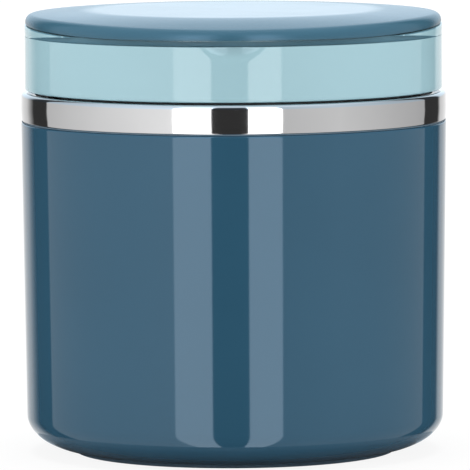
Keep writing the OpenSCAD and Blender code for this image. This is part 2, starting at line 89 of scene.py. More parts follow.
def fillet(corners, steps=5):
    """Closed outline from corners (r, z) or (r, z, radius); a corner with a radius is rounded."""
    points = [Vector(c[:2]) for c in corners]
    outline = []
    for i, corner in enumerate(corners):
        p = points[i]
        radius = corner[2] if len(corner) > 2 else 0
        if radius <= 0:
            outline.append(p)
            continue
        a, b = points[i - 1] - p, points[(i + 1) % len(points)] - p
        half = a.angle(b) / 2
        reach = min(radius / math.tan(half), 0.45 * a.length, 0.45 * b.length)
        radius = reach * math.tan(half)
        ua, ub = a.normalized(), b.normalized()
        centre = p + (ua + ub).normalized() * (radius / math.sin(half))
        start, end = p + ua * reach - centre, p + ub * reach - centre
        turn = math.atan2(start.cross(end), start.dot(end))
        guard = reach + GUARD
        if guard < 0.5 * a.length:
            outline.append(p + ua * guard)
        for k in range(steps + 1):
            t = turn * k / steps
            outline.append(centre + Matrix.Rotation(t, 2) @ start)
        if guard < 0.5 * b.length:
            outline.append(p + ub * guard)
    return outline


def arc(cx, cz, rx, rz, a, b, steps):
    """Points on an ellipse about (cx, cz) from angle a to angle b, in degrees."""
    return [(cx + rx * math.cos(math.radians(a + (b - a) * k / steps)),
             cz + rz * math.sin(math.radians(a + (b - a) * k / steps))) for k in range(steps + 1)]


def to_mesh(name, bm, smooth=True):
    bmesh.ops.remove_doubles(bm, verts=bm.verts, dist=2e-6)
    bmesh.ops.dissolve_degenerate(bm, edges=bm.edges, dist=1e-6)
    bmesh.ops.recalc_face_normals(bm, faces=bm.faces)
    mesh = bpy.data.meshes.new(name)
    bm.to_mesh(mesh)
    bm.free()
    if smooth:
        shade(mesh)
    return mesh


def shade(mesh):
    mesh.polygons.foreach_set("use_smooth", [True] * len(mesh.polygons))
    mesh.set_sharp_from_angle(angle=SHARP)


def new_object(name, mesh):
    obj = bpy.data.objects.new(name, mesh)
    bpy.context.scene.collection.objects.link(obj)
    return obj


def sweep(name, angles, outline_at):
    """Closed skin through the outlines (r, z) at those angles from the front, in degrees."""
    bm = bmesh.new()
    rings = []
    axis = {}
    for a in angles:
        s, c = math.sin(math.radians(a)), math.cos(math.radians(a))
        ring = []
        for k, (r, z) in enumerate(outline_at(math.radians(a))):
            if r < 1e-6:
                if k not in axis:
                    axis[k] = bm.verts.new((0, 0, z * MM))
                ring.append(axis[k])
            else:
                ring.append(bm.verts.new((r * s * MM, -r * c * MM, z * MM)))
        rings.append(ring)
    for i, ring in enumerate(rings):
        other = rings[(i + 1) % len(rings)]
        for k in range(len(ring)):
            j = (k + 1) % len(ring)
            corners = []
            for v in (ring[k], other[k], other[j], ring[j]):
                if v not in corners:
                    corners.append(v)
            if len(corners) > 2:
                bm.faces.new(corners)
    return new_object(name, to_mesh(name, bm))


def around(sides):
    """Angles of a turned piece's facets, in degrees."""
    return [360 * i / sides for i in range(sides)]


def turned(name, corners, steps=5, sides=SIDES):
    """Closed skin of an outline, given as for fillet, turned round the axis."""
    outline = [tuple(p) for p in fillet(corners, steps)]
    return sweep(name, around(sides), lambda a: outline)


def prism(name, outline, x0, x1, bevel=0.0):
    """Closed solid: an outline (y, z) pushed from x0 to x1."""
    bm = bmesh.new()
    left = [bm.verts.new((x0 * MM, y * MM, z * MM)) for y, z in outline]
    right = [bm.verts.new((x1 * MM, y * MM, z * MM)) for y, z in outline]
    bm.faces.new(left)
    bm.faces.new(right)
    for i in range(len(outline)):
        j = (i + 1) % len(outline)
        bm.faces.new((left[i], left[j], right[j], right[i]))
    bmesh.ops.recalc_face_normals(bm, faces=bm.faces)
    if bevel:
        ends = [e for e in bm.edges if abs(e.verts[0].co.x - e.verts[1].co.x) < 1e-7]
        bmesh.ops.bevel(bm, geom=ends, offset=bevel * MM, segments=3, profile=0.5, affect="EDGES")
    return new_object(name, to_mesh(name, bm))


def combine(target, tool, operation):
    """Boolean of target with tool, which is used up."""
    modifier = target.modifiers.new("cut", "BOOLEAN")
    modifier.operation, modifier.object, modifier.solver = operation, tool, "EXACT"
    depsgraph = bpy.context.evaluated_depsgraph_get()
    mesh = bpy.data.meshes.new_from_object(target.evaluated_get(depsgraph))
    target.modifiers.clear()
    old, target.data = target.data, mesh
    bpy.data.meshes.remove(old)
    bpy.data.objects.remove(tool)
    shade(target.data)
    return target


def softmin(a, b, k):
    """The smaller of two lengths, with the corner between them rounded over about k."""
    h = max(k - abs(a - b), 0) / k
    return min(a, b) - h * h * k / 4


def ease(t):
    """0 to 1 with a level start and end."""
    t = min(max(t, 0), 1)
    return t * t * (3 - 2 * t)


# ---- Materials

def rgb(r, g, b):
    """A colour as it looks on a screen, 0 to 255, as the linear values that nodes take."""
    def linear(v):
        v /= 255
        return v / 12.92 if v <= 0.04045 else ((v + 0.055) / 1.055) ** 2.4
    return (linear(r), linear(g), linear(b), 1)


def material(name, colour, rough, metallic=0.0, tint=0.04, tint_scale=60, rough_spread=0.03,
             grain=0.0, grain_scale=(900, 900, 900), wave=0.0, ior=1.5, **sockets):
    """Procedural surface: cloudy tint, patchy roughness, and grain and slow waves in its bump.

    grain and wave are heights in millimetres; sockets are further inputs of the shader.
    """
    m = bpy.data.materials.new(name)
    m.use_nodes = True
    nodes, links = m.node_tree.nodes, m.node_tree.links
    shader = nodes["Principled BSDF"]
    place = nodes.new("ShaderNodeTexCoord")

    def noise(scale, detail=3, stretch=None):
        tex = nodes.new("ShaderNodeTexNoise")
        tex.inputs["Scale"].default_value = scale
        tex.inputs["Detail"].default_value = detail
        source = place.outputs["Object"]
        if stretch:
            mapping = nodes.new("ShaderNodeMapping")
            mapping.inputs["Scale"].default_value = stretch
            links.new(source, mapping.inputs["Vector"])
            source = mapping.outputs["Vector"]
        links.new(source, tex.inputs["Vector"])
        return tex.outputs["Fac"]

    ramp = nodes.new("ShaderNodeValToRGB")
    darker, lighter = ramp.color_ramp.elements
    darker.position, lighter.position = 0.3, 0.7
    darker.color = tuple(c * (1 - tint) for c in colour[:3]) + (1,)
    lighter.color = tuple(min(1, c * (1 + tint)) for c in colour[:3]) + (1,)
    links.new(noise(tint_scale), ramp.inputs["Fac"])
    links.new(ramp.outputs["Color"], shader.inputs["Base Color"])
    spread = nodes.new("ShaderNodeMapRange")
    spread.inputs["To Min"].default_value = max(0, rough - rough_spread)
    spread.inputs["To Max"].default_value = rough + rough_spread
    patches = noise(tint_scale * 2.5, stretch=tuple(g / max(grain_scale) for g in grain_scale))
    links.new(patches, spread.inputs["Value"])
    links.new(spread.outputs["Result"], shader.inputs["Roughness"])
    shader.inputs["Metallic"].default_value = metallic
    shader.inputs["IOR"].default_value = ior
    for socket, value in sockets.items():
        shader.inputs[socket.replace("_", " ")].default_value = value
    normal = None
    waves, grains = (lambda: noise(130, 1)), (lambda: noise(1, stretch=grain_scale))
    for height, source in ((wave, waves), (grain, grains)):
        if height:
            bump = nodes.new("ShaderNodeBump")
            bump.inputs["Distance"].default_value = height * MM
            links.new(source(), bump.inputs["Height"])
            if normal:
                links.new(normal, bump.inputs["Normal"])
            normal = bump.outputs["Normal"]
    if normal:
        links.new(normal, shader.inputs["Normal"])
    return m


SHEEN = (0.67, 0.83, 1.0, 1)         # tint of what the blue plastic mirrors
LOOKS = {
    "jacket_blue": dict(colour=rgb(40, 77, 98), rough=0.05, tint=0.03, tint_scale=25,
                        rough_spread=0.012, wave=0.003, grain=0.0002, ior=1.56,
                        Specular_Tint=SHEEN),
    "cover_blue": dict(colour=rgb(49, 88, 106), rough=0.15, tint=0.03, tint_scale=25,
                       rough_spread=0.02, wave=0.003, grain=0.0003, ior=1.56,
                       Specular_Tint=SHEEN),
    "lid_aqua": dict(colour=rgb(150, 184, 193), rough=0.06, tint=0.02, tint_scale=25,
                     rough_spread=0.015, wave=0.003, grain=0.0002),
    "polished_steel": dict(colour=(0.62, 0.62, 0.625, 1), rough=0.05, metallic=1, tint=0.02,
                           rough_spread=0.02, grain=0.0004, grain_scale=(60, 60, 2600)),
    "flask_steel": dict(colour=(0.58, 0.58, 0.585, 1), rough=0.24, metallic=1, tint=0.06,
                        rough_spread=0.06, grain=0.003, grain_scale=(40, 40, 3200)),
    "neck_plastic": dict(colour=rgb(150, 158, 162), rough=0.42, grain=0.004),
    "core_plastic": dict(colour=rgb(222, 225, 224), rough=0.36, tint=0.015, grain=0.003),
    # The foot's dark blue-grey rubber is set lighter than its own colour: painted light for the
    # light that reaches under the jar
    "foot_rubber": dict(colour=rgb(80, 102, 118), rough=0.62, tint=0.12, tint_scale=300,
                        grain=0.012),
    "gasket_rubber": dict(colour=rgb(72, 92, 106), rough=0.5, tint=0.1, tint_scale=300,
                          grain=0.006),
    "silicone": dict(colour=rgb(228, 228, 222), rough=0.4, tint=0.02, grain=0.002,
                     Subsurface_Weight=0.3, Subsurface_Scale=0.002),
    # Finger groove's faces: the blue of a part seen in the groove, darkened with painted shade of
    # the recess under the cover
    "groove_blue_and_shade": dict(colour=rgb(82, 124, 140), rough=0.4, tint=0.03, tint_scale=25,
                        grain=0.0003),
    "foam": dict(colour=rgb(232, 221, 188), rough=0.9, tint=0.08, tint_scale=700, grain=0.08),
    "copper_foil": dict(colour=(0.75, 0.42, 0.28, 1), rough=0.25, metallic=1, tint=0.08,
                        grain=0.02, grain_scale=(300, 300, 300)),
    "getter_grey": dict(colour=rgb(95, 95, 96), rough=0.7, tint=0.15, tint_scale=900, grain=0.02),
}
MATERIALS = {name: material(name, **look) for name, look in LOOKS.items()}


def rougher_outside(m, inner, outer, extra):
    """Adds to the roughness beyond a radius from the axis, in millimetres."""
    nodes, links = m.node_tree.nodes, m.node_tree.links
    rough = nodes["Principled BSDF"].inputs["Roughness"]
    flat, length = nodes.new("ShaderNodeVectorMath"), nodes.new("ShaderNodeVectorMath")
    flat.operation, length.operation = "MULTIPLY", "LENGTH"
    flat.inputs[1].default_value = (1, 1, 0)
    ring, total = nodes.new("ShaderNodeMapRange"), nodes.new("ShaderNodeMath")
    ring.interpolation_type = "SMOOTHSTEP"
    ring.inputs["From Min"].default_value = inner * MM
    ring.inputs["From Max"].default_value = outer * MM
    ring.inputs["To Max"].default_value = extra
    place = next(n for n in nodes if n.type == "TEX_COORD")
    before = rough.links[0].from_socket
    links.new(place.outputs["Object"], flat.inputs[0])
    links.new(flat.outputs["Vector"], length.inputs[0])
    links.new(length.outputs["Value"], ring.inputs["Value"])
    links.new(before, total.inputs[0])
    links.new(ring.outputs["Result"], total.inputs[1])
    links.new(total.outputs["Value"], rough)


# The cover's gloss is softer beyond its flat top
rougher_outside(MATERIALS["cover_blue"], inner=35, outer=41, extra=0.1)


def finish_piece(obj, body, slot, *nodes):
    """Gives a new piece its material and body, in place of those nodes of the frame."""
    obj.data.materials.clear()
    obj.data.materials.append(MATERIALS[slot])
    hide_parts(*nodes)
    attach(obj, body)


# Every node of the frame gets its material; the pieces made below take the place of some
for entry in frame["record"]["subparts"]:
    node = frame["nodes"][entry["node"]]
    if not node.data.materials:
        node.data.materials.append(None)
    for i in range(len(node.data.materials)):
        node.data.materials[i] = MATERIALS[entry["material_slot"]]


# ---- Jar

def make_jar():
    # The jacket's low corner is a quarter of an ellipse about (low_r, low_z), outside and inside
    low_r, low_z = BODY_LOW_R - ROUND_X, FOOT_PROUD + ROUND_Z
    recess_r = FOOT_R + FOOT_GAP
    start = -math.degrees(math.acos((recess_r - low_r) / ROUND_X))
    outside = arc(low_r, low_z, ROUND_X, ROUND_Z, start, 0, 28)
    inside = arc(low_r, low_z, ROUND_X - JACKET_WALL, low_z - JACKET_FLOOR, 0, -90, 16)
    jacket = turned("jacket", [
        (HOLE_R, JACKET_FLOOR, 0.3), (HOLE_R, FOOT_H, 0.2), (recess_r, FOOT_H), *outside,
        (BODY_LOW_R + 0.03, low_z + 1.5), (BODY_R, JACKET_TOP, 0.6),
        (JACKET_IN_R, JACKET_TOP, 0.2), *inside], sides=FINE_SIDES)
    finish_piece(jacket, "jar", "jacket_blue", "outer_jacket")

    width, depth, pitch, first_r = 1.4, 0.45, 4, 38.5
    grooves = []
    for k in range(9):
        r = first_r - pitch * k
        grooves += [(r, 0, 0.15), (r, depth, 0.1), (r - width, depth, 0.1), (r - width, 0, 0.15)]
    pad = turned("foot", [(0, FOOT_H), (FOOT_R, FOOT_H, 0.1), (FOOT_R, 0, 0.35), *grooves,
                          (0, 0)], 3)
    finish_piece(pad, "jar", "foot_rubber", "foot_pad")

    gasket = turned("gasket", [(JACKET_IN_R, JACKET_TOP), (GASKET_R, JACKET_TOP),
                               (GASKET_R, COLLAR_Z), (JACKET_IN_R, COLLAR_Z)])
    finish_piece(gasket, "jar", "gasket_rubber", "jacket_gasket")

    swell, middle_z, half = 0.15, 89.6, 3.1    # the collar's side swells a little at the middle
    side = [(BODY_R - swell * ((z - middle_z) / half) ** 2, z)
            for z in (87, 87.8, 88.6, 89.4, 90.2, 91)]
    lip_r, lip_z = 48.8, 92.7
    collar = turned("collar", [
        (54.05, COLLAR_Z, 0.1), (GASKET_R, COLLAR_Z, 0.25), *side,
        (BODY_R - 0.03, COLLAR_TOP, COLLAR_ROUND), (lip_r, COLLAR_TOP, 0.2), (lip_r, lip_z),
        (54.15, lip_z, 0.5)], 8, FINE_SIDES)
    finish_piece(collar, "jar", "polished_steel", "steel_collar")

    liner_r, liner_z, floor_z = 42.8, 13.2, 14.0
    liner = turned("liner", [
        (0, liner_z), (liner_r, liner_z, 10.8), (liner_r, RIM_UNDER), (RIM_R, RIM_UNDER, 0.3),
        (RIM_R, RIM_Z, 0.45), (MOUTH_R, RIM_Z, 0.7), (MOUTH_R, floor_z, 10), (0, floor_z)], 12)
    finish_piece(liner, "jar", "flask_steel", "flask_liner")

    bore_r, tube_r, flange_r, foot_z, flange_z, top_z = 44.55, 46.25, 53.4, 86.4, 92.65, 100.65
    skirt_in_r, skirt_r, skirt_z, shelf_z = 50.7, 52.5, 82.8, 90.85
    bead_r, bead_z, bead_top = 54.0, 86.1, 87.9
    neck = turned("neck", [
        (bore_r, foot_z), (tube_r, foot_z), (tube_r, shelf_z), (skirt_in_r, shelf_z),
        (skirt_in_r, skirt_z, 0.2), (skirt_r, skirt_z, 0.3), (skirt_r, bead_z), (bead_r, bead_z),
        (bead_r, bead_top), (skirt_r, bead_top), (skirt_r, shelf_z), (flange_r, shelf_z),
        (flange_r, flange_z, 0.3), (tube_r, flange_z, 0.3), (tube_r, top_z, 0.4),
        (bore_r, top_z, 0.2)])
    add_lugs(neck, "neck_lug", 45.9, 47.6, 97.15)
    finish_piece(neck, "jar", "neck_plastic", "neck_ring")


def lug(name, root_r, crest_r, z0, start):
    """One thread lug: from that height and angle it rises, and both its ends taper off."""
    bm = bmesh.new()
    rings = []
    count = 48
    root, crest = 0.8, 0.5                      # half heights of the section
    side = 1 if crest_r > root_r else -1
    for i in range(count + 1):
        t = i / count
        a = math.radians(start + LUG_ANGLE * t)
        z = z0 + LEAD * LUG_ANGLE / 360 * t
        share = 0.12 + 0.88 * ease(min(t, 1 - t) * 7)
        tip = root_r + (crest_r - root_r) * share
        soft = 0.25 * share
        section = [(root_r, -root), (tip - side * soft, -crest - 0.06), (tip, -crest + soft),
                   (tip, crest - soft), (tip - side * soft, crest + 0.06), (root_r, root)]
        rings.append([bm.verts.new((r * math.cos(a) * MM, r * math.sin(a) * MM, (z + h) * MM))
                      for r, h in section])
    bm.faces.new(rings[0])
    bm.faces.new(rings[-1])
    for one, two in zip(rings, rings[1:]):
        for k in range(len(one)):
            j = (k + 1) % len(one)
            bm.faces.new((one[k], one[j], two[j], two[k]))
    return new_object(name, to_mesh(name, bm))


def add_lugs(target, name, root_r, crest_r, z0):
    for start in LUG_STARTS:
        combine(target, lug(name, root_r, crest_r, z0, start), "UNION")


# ---- Lid

# The groove's inner wall is a circle about a point behind the axis, by GROOVE_SHIFT
GROOVE_END_Y = LID_R * math.cos(math.radians(GROOVE_ANGLE))
GROOVE_FULL_Y = LID_R * math.cos(math.radians(GROOVE_FULL))
GROOVE_SHIFT = (LID_R ** 2 - GROOVE_R ** 2) / (2 * (GROOVE_R - GROOVE_END_Y))


def front(a):
    """1 at the front, falling to 0 at the sides and behind them."""
    return max(0, math.cos(a))


def edge_high(a):
    """Height of the edge of the cover's top."""
    return COVER_TOP - COVER_FALL - COVER_FALL_FRONT * front(a) ** 2


def edge_low(a):
    """Height of the cover's lower edge, which arches down at the front."""
    if front(a) <= 0:
        return COVER_Z
    return COVER_Z - ARCH_DROP * softmin(1, ARCH_RUN * front(a), 0.12)


def groove_wall(a):
    """Radius of the groove's inner wall."""
    if math.cos(a) <= math.cos(math.radians(GROOVE_ANGLE)):
        return LID_R
    wall = GROOVE_R + GROOVE_SHIFT
    reach = math.sqrt(wall ** 2 - (GROOVE_SHIFT * math.sin(a)) ** 2)
    return min(LID_R, -GROOVE_SHIFT * math.cos(a) + reach)


def groove_roof(a):
    """Height of the groove's roof, which comes down to the band at the groove's ends."""
    share = (LID_R * math.cos(a) - GROOVE_END_Y) / (GROOVE_FULL_Y - GROOVE_END_Y)
    return BAND_TOP + GROOVE_H * min(1, max(0, share))


def band_r(a, z):
    """Radius of the band's face, dished by the thumb scoop's sphere."""
    if math.cos(a) < 0.9:
        return LID_R
    under = SCOOP_R ** 2 - (z - SCOOP_Z) ** 2 - (SCOOP_Y * math.sin(a)) ** 2
    ball = SCOOP_Y * math.cos(a) - math.sqrt(under) if under > 0 else LID_R + 1 - under * 0.5
    return max(GROOVE_R + 0.02, softmin(LID_R, ball, 0.8))


def lid_outline(a):
    """The lid's shell at an angle: up its outside, over the ledge, then back under it."""
    wall, roof = groove_wall(a), groove_roof(a)
    rise = edge_low(a) - COVER_GAP
    depth = LID_R - wall
    roof = min(roof, rise)
    wedge = ease((rise - roof) / 0.35) if wall < LID_R else 1.0
    out = wall + (LID_R - wall) * wedge
    edge = min(0.12, 0.4 * depth)
    f = min(0.2, 0.3 * depth, 0.4 * (roof - BAND_TOP))
    lip = min(0.22, 0.45 * (rise - roof))
    scoop_rows = [103.6 + 0.28 * k for k in range(15)]
    # Lower edge and band
    points = [(SHELL_IN_R, LID_Z + 0.4), (SHELL_IN_R + 0.06, LID_Z + 0.1),
              (SHELL_IN_R + 0.25, LID_Z)]
    points += arc(LID_R - 0.6, LID_Z + 0.6, 0.6, 0.6, -90, 0, 5)
    points += [(LID_R, LID_Z + 0.75), (LID_R, 100), (LID_R, 103.3)]
    points += [(band_r(a, z), z) for z in scoop_rows]
    top = band_r(a, BAND_TOP - edge)
    inner = max(wall + f, top - edge)
    points += [(inner + (top - inner) * math.cos(t), BAND_TOP - edge + edge * math.sin(t))
               for t in (math.radians(x) for x in (0, 22.5, 45, 67.5, 90))]
    # Finger groove: its floor, wall and roof, then the rise up to the cover
    points += [(wall + f, BAND_TOP), (wall + 0.3 * f, BAND_TOP + 0.3 * f), (wall, BAND_TOP + f)]
    points += [(wall, roof - f), (wall + 0.3 * f * wedge, roof - 0.3 * f), (wall + f * wedge, roof)]
    points += [(out - lip * wedge, roof), (out - 0.3 * lip * wedge, roof + 0.3 * lip)]
    points += [(out, roof + lip), (out, rise - lip), (out - 0.3 * lip, rise - 0.3 * lip)]
    points += [(max(GROOVE_R, out - lip), rise), (GROOVE_R + 0.02, rise)]
    # Ledge and compartment
    floor, under = COMPARTMENT_Z, COMPARTMENT_Z - COMPARTMENT_WALL
    outer = COMPARTMENT_R + COMPARTMENT_WALL
    points += [(GROOVE_R, LEDGE_Z - 0.1), (GROOVE_R - 0.1, LEDGE_Z), (COMPARTMENT_R + 0.6, LEDGE_Z)]
    points += arc(COMPARTMENT_R + 0.5, LEDGE_Z - 0.5, -0.5, 0.5, 90, 0, 4)
    points += [(COMPARTMENT_R, floor + 1.2)]
    points += arc(COMPARTMENT_R - 1.2, floor + 1.2, 1.2, 1.2, 0, -90, 5)
    points += [(20, floor), (0, floor)]
    # Underside
    points += [(0, under), (outer - 0.3, under), (outer, under + 0.3), (outer, LEDGE_Z - LEDGE_T)]
    points += [(SKIRT_IN_R, LEDGE_Z - LEDGE_T), (SKIRT_IN_R, CORE_TOP), (SHELL_IN_R, CORE_TOP)]
    return points


def round_hinge(radius, a, b, steps):
    """Points (y, z) on a circle about the hinge's axis."""
    return arc(HINGE_Y, HINGE_Z, radius, radius, a, b, steps)


def drill(target, radius, x0, x1):
    """Round hole along the hinge's axis."""
    return combine(target, prism("drill", round_hinge(radius, 0, 350, 35), x0, x1), "DIFFERENCE")


def make_lid():
    # Fine steps, in degrees, across the thumb scoop in front; coarser ones round the rest
    fine, coarse, scoop = 0.4, 0.9, 15.2
    half = round(scoop / fine)
    angles = [fine * i for i in range(-half, half)]
    angles += [scoop + coarse * i for i in range(int((360 - 2 * scoop) / coarse) + 1)]
    shell = sweep("lid_body", angles, lid_outline)
    pocket_z = HINGE_Z - KNUCKLE_R - HINGE_GAP
    pocket = [(NOTCH_Y, pocket_z + 0.4), (NOTCH_Y + 0.12, pocket_z + 0.12),
              (NOTCH_Y + 0.4, pocket_z), (BEYOND_Y, pocket_z), (BEYOND_Y, BEYOND_Z),
              (NOTCH_Y, BEYOND_Z)]
    combine(shell, prism("pocket", pocket, -NOTCH_X, NOTCH_X), "DIFFERENCE")
    foot_z = pocket_z - 1
    outline = [(HINGE_Y - KNUCKLE_R, foot_z), *round_hinge(KNUCKLE_R, 180, -90, 26),
               (HINGE_Y, foot_z)]
    for x0 in (EAR_X, -EAR_X - EAR_W):
        ear = prism("ear", outline, x0, x0 + EAR_W, 0.3)
        combine(shell, drill(ear, PIN_R, x0 - 1, x0 + EAR_W + 1.2), "UNION")
    finish_piece(shell, "lid", "lid_aqua", "lid_shell")
    # The faces inside the finger groove get the darker blue-teal: painted shade of the recess under
    # the cover, on what is read as a blue part
    shell.data.materials.append(MATERIALS["groove_blue_and_shade"])
    for face in shell.data.polygons:
        x, y, z = face.center / MM
        a, r = math.atan2(x, -y), math.hypot(x, y)
        low, high = BAND_TOP + 0.01, edge_low(a) - COVER_GAP - 0.01
        inside = GROOVE_R - 0.1 < r < LID_R - 0.03 and low < z < high
        if inside and abs(a) < math.radians(GROOVE_ANGLE):
            face.material_index = 1

    plug_r, plug_z, plug_in_r, plug_in_z, roof_z = 40.9, 90, 39.5, 91.4, 103.6
    skirt_r, skirt_z, toe_r, toe_z = 50, 94.8, 51.35, 96.2
    core = turned("lid_inner", [
        (0, plug_z), (plug_r, plug_z, 1.2), (plug_r, roof_z), (SKIRT_IN_R, roof_z),
        (SKIRT_IN_R, skirt_z, 0.3), (toe_r, skirt_z, 0.3), (toe_r, toe_z), (skirt_r, toe_z),
        (skirt_r, CORE_TOP), (plug_in_r, CORE_TOP), (plug_in_r, plug_in_z), (0, plug_in_z)])
    add_lugs(core, "lid_lug", 48.4, 46.65, 95.65)
    finish_piece(core, "lid", "core_plastic", "lid_core")

    end = [(0, PIN_HALF), (0.6, PIN_HALF), (0.82, PIN_HALF - 0.08), (PIN_R, PIN_HALF - 0.3)]
    rod = [(r, -z) for r, z in end] + end[::-1]
    pin = sweep("pin", around(40), lambda a: rod)
    hinge = Matrix.Translation((0, HINGE_Y * MM, HINGE_Z * MM))
    pin.data.transform(hinge @ Matrix.Rotation(math.pi / 2, 4, "Y"))
    finish_piece(pin, "lid", "flask_steel", "hinge_pin")

    lip_in_r, lip_r, step_r = 41.2, 41.7, 42.75
    lip_z, step_z, top_z = 99.5, 102.5, 103.5
    seal = turned("seal", [
        (lip_in_r, lip_z, 0.2), (lip_r, lip_z, 0.2), (lip_r, step_z), (step_r, step_z),
        (step_r, RIM_Z, 0.2), (RIM_R, RIM_Z, 0.3), (RIM_R, top_z, 0.3), (lip_in_r, top_z, 0.3)])
    finish_piece(seal, "seal", "silicone", "main_seal")


# ---- Cover

def cover_outline(a):
    """The cover's skin at an angle: over its top and round its edge, then back inside."""
    high, low = edge_high(a), edge_low(a)
    fall = COVER_TOP - high
    span = COVER_EDGE_R - FLAT_R
    shares = [0, 0.05, 0.1, 0.16, 0.24, 0.33, 0.43, 0.54, 0.66, 0.78, 0.9, 1]

    def top(u):
        return COVER_TOP - fall * u ** TOP_POWER

    points = [(0, COVER_TOP), (20, COVER_TOP), (FLAT_R - 1, COVER_TOP)]
    points += [(FLAT_R + span * u, top(u)) for u in shares]
    # A Bezier curve goes on at the top's slope and comes down upright to the lower edge
    slope = TOP_POWER * fall / span
    p0, p3 = Vector((COVER_EDGE_R, high)), Vector((COVER_R, low + 0.25))
    reach = p3.x - p0.x
    p1 = p0 + Vector((1, -slope)) * 0.6 * reach
    p2 = p3 + Vector((0, 0.55 * (p0.y - p3.y)))
    for k in range(1, 13):
        t = k / 12
        points.append(p0 * (1 - t) ** 3 + 3 * p1 * t * (1 - t) ** 2
                      + 3 * p2 * t * t * (1 - t) + p3 * t ** 3)
    points += [(COVER_R - 0.07, low + 0.07), (COVER_R - 0.25, low), (COVER_IN_R + 0.2, low),
               (COVER_IN_R + 0.05, low + 0.05), (COVER_IN_R, low + 0.2)]
    points += [(COVER_IN_R, (low + high - COVER_SKIN) / 2)]
    points += [(FLAT_R + span * u - 0.4, top(u) - COVER_SKIN) for u in (0.9, 0.7, 0.4, 0)]
    points += [(20, COVER_TOP - COVER_SKIN), (0, COVER_TOP - COVER_SKIN)]
    return [tuple(p) for p in points]


def make_cover():
    cover = sweep("cover", around(FINE_SIDES), cover_outline)
    notch = [(NOTCH_Y, 100), (BEYOND_Y, 100), (BEYOND_Y, BEYOND_Z), (NOTCH_Y, BEYOND_Z)]
    combine(cover, prism("notch", notch, -NOTCH_X, NOTCH_X), "DIFFERENCE")
    top = COVER_TOP - COVER_SKIN / 2
    web = [(WEB_Y, COVER_Z + 0.05), *round_hinge(KNUCKLE_R, 170.8, 450, 30), (NOTCH_Y, top),
           (WEB_Y, top)]
    combine(cover, prism("web", web, -KNUCKLE_HALF, KNUCKLE_HALF, 0.25), "UNION")
    drill(cover, PIN_R + PIN_CLEAR, -10, 10)
    finish_piece(cover, "cover", "cover_blue", "flip_cover")

    plate_r, plate_z, plate_top = 45.9, 110.43, 111.63
    spigot_in_r, spigot_r, spigot_z = 34, 36.1, 107.13
    seat_r, seat_z, seat_top = 35.3, 108.03, 109.43
    boss_in_r, boss_top = 31.9, 112.95
    inner = turned("cover_liner", [
        (0, plate_z), (spigot_in_r, plate_z), (spigot_in_r, spigot_z, 0.3),
        (spigot_r, spigot_z, 0.3), (spigot_r, seat_z), (seat_r, seat_z), (seat_r, seat_top),
        (spigot_r, seat_top), (spigot_r, plate_z), (plate_r, plate_z, 0.3),
        (plate_r, plate_top, 0.3), (spigot_in_r, plate_top), (spigot_in_r, boss_top),
        (boss_in_r, boss_top), (boss_in_r, plate_top), (0, plate_top)])
    finish_piece(inner, "cover", "core_plastic", "cover_inner")
    seal_r = 36.3
    ring = turned("cover_ring", [(seat_r, seat_z), (seal_r, seat_z, 0.45),
                                 (seal_r, seat_top, 0.45), (seat_r, seat_top)])
    finish_piece(ring, "cover", "silicone", "cover_seal")


make_jar()
make_lid()
make_cover()


# ---- Studio, in metres but for the plinth

PLINTH_R, PLINTH_Z = 56.2, 0.05
DOME_R, DOME_Z = 1.3, 0.06
COOL = (0.86, 1.02, 1.16)           # tone of the studio's light above the horizon
WORLD_LIGHT, WORLD_SEEN = 0.6, 1.0  # the world's strength for matt light, and where it is seen
FLOOR_GREY, FLOOR_WHITE = 0.8, 0.9  # the floor's matt colour, and its share of white where seen


def look_at(obj, target):
    obj.rotation_euler = (Vector(target) - obj.location).to_track_quat("-Z", "Y").to_euler()


def make_camera():
    """Camera far in front and a little above, fitted to the photo."""
    target = Vector((0.00018, 0, 0.0559))
    elevation, roll = math.radians(5.1), math.radians(-0.3)
    distance, lens = 1.85, 546.4
    data = bpy.data.cameras.new("camera")
    data.lens, data.sensor_width, data.clip_end = lens, 36, 50
    camera = new_object("camera", data)
    camera.location = target + Vector((0, -math.cos(elevation), math.sin(elevation))) * distance
    look_at(camera, target)
    camera.rotation_euler.rotate_axis("Z", roll)
    bpy.context.scene.camera = camera


def area(name, place, target, size, size_y, radiance):
    """Soft box of that radiance for matt light only; the dome holds what glossy surfaces show."""
    data = bpy.data.lights.new(name, "AREA")
    data.shape, data.size, data.size_y = "RECTANGLE", size, size_y
    data.energy = radiance * math.pi * size * size_y
    lamp = new_object(name, data)
    lamp.location = place
    look_at(lamp, target)
    lamp.visible_glossy = False


def overhead(direction, irradiance, width):
    """Large soft source far above, for matt light only; width is its diameter in degrees."""
    data = bpy.data.lights.new("overhead", "SUN")
    data.energy, data.angle = irradiance, math.radians(width)
    lamp = new_object("overhead", data)
    lamp.location = Vector(direction) * 2
    look_at(lamp, (0, 0, 0))
    lamp.visible_glossy = False


def light_path_white(nodes, links):
    """1 for camera, glossy and transmission rays, else 0."""
    path = nodes.new("ShaderNodeLightPath")
    total = path.outputs["Is Camera Ray"]
    for other in ("Is Glossy Ray", "Is Transmission Ray"):
        add = nodes.new("ShaderNodeMath")
        add.operation = "MAXIMUM"
        links.new(total, add.inputs[0])
        links.new(path.outputs[other], add.inputs[1])
        total = add.outputs[0]
    return total


def make_world():
    world = bpy.data.worlds.new("studio")
    world.use_nodes = True
    bpy.context.scene.world = world
    nodes, links = world.node_tree.nodes, world.node_tree.links
    back = nodes["Background"]
    back.inputs["Color"].default_value = (1, 1, 1, 1)
    strength = nodes.new("ShaderNodeMapRange")
    strength.inputs["To Min"].default_value = WORLD_LIGHT
    strength.inputs["To Max"].default_value = WORLD_SEEN
    links.new(light_path_white(nodes, links), strength.inputs["Value"])
    links.new(strength.outputs["Result"], back.inputs["Strength"])


def bare_material(name):
    """Material whose surface is still to be made, with its nodes and links."""
    m = bpy.data.materials.new(name)
    m.use_nodes = True
    nodes, links = m.node_tree.nodes, m.node_tree.links
    nodes.remove(nodes["Principled BSDF"])
    m.cycles.emission_sampling = "NONE"
    return m, nodes, links


